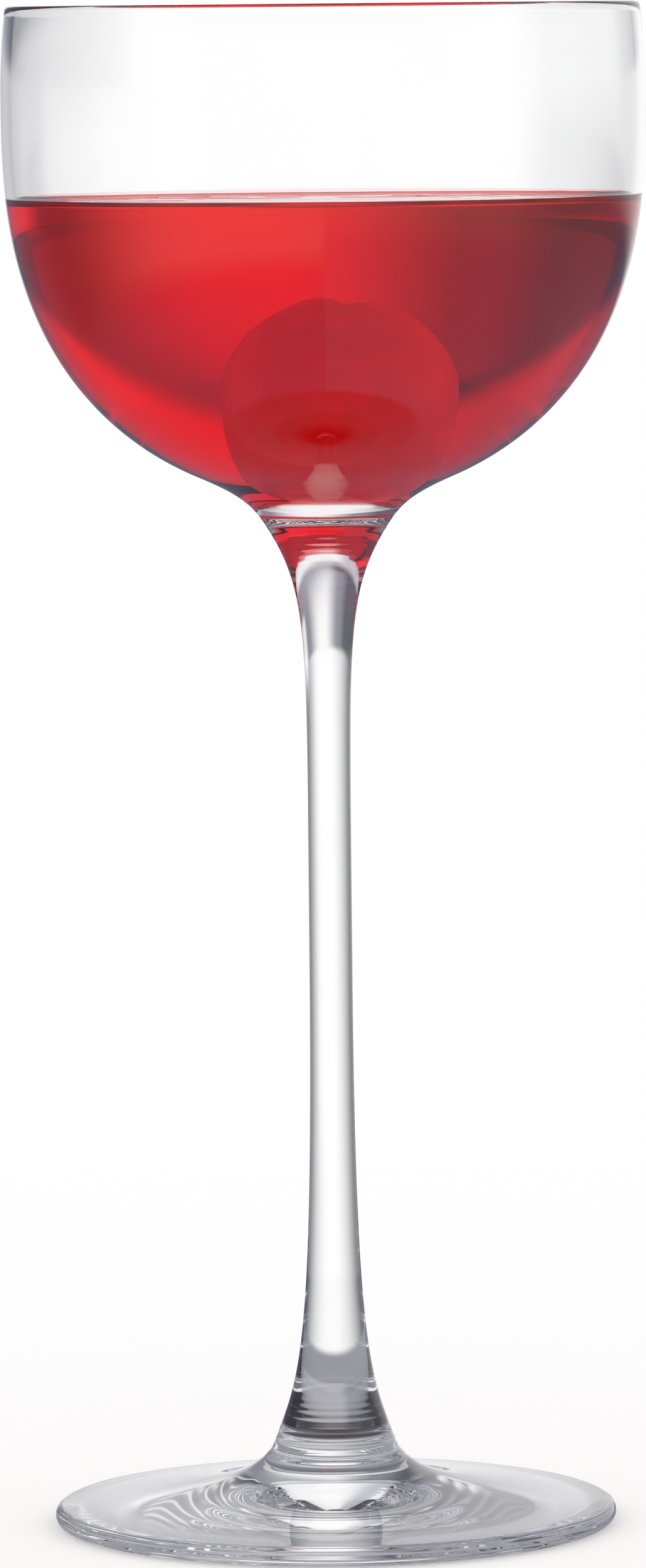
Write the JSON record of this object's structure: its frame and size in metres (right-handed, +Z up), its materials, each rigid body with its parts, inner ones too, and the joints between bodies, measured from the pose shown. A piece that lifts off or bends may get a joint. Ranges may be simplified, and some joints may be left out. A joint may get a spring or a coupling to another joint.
{
  "type": "nick and nora glass",
  "caption": "Stemmed cocktail glass with a small deep rounded bowl, a slender drawn stem and a flat round foot, holding a red drink with a cherry.",
  "frame": {"origin": "on the table, under the middle of the foot", "axes": "+Z up along the stem, from the foot to the rim; +X to the right and +Y away from the picture's camera"},
  "size_m": [0.07, 0.07, 0.166],
  "materials": {
    "foot_glass": "clear fire-polished glass",
    "stem_glass": "clear drawn glass",
    "bowl_glass": "clear thin blown glass",
    "red_drink": "clear red liquid",
    "cocktail_cherry": "wet syrupy skin"
  },
  "bodies": {
    "glass": {"foot": "foot_glass", "stem": "stem_glass", "bowl": "bowl_glass", "drink": "red_drink"},
    "garnish": {"cherry": "cocktail_cherry"}
  },
  "joints": [
    {"name": "cherry_lift", "type": "slide", "parent": "glass", "child": "garnish", "axis": [0, 0, 1], "range_m": [0, 0.06], "deforming": ["drink"]}
  ]
}
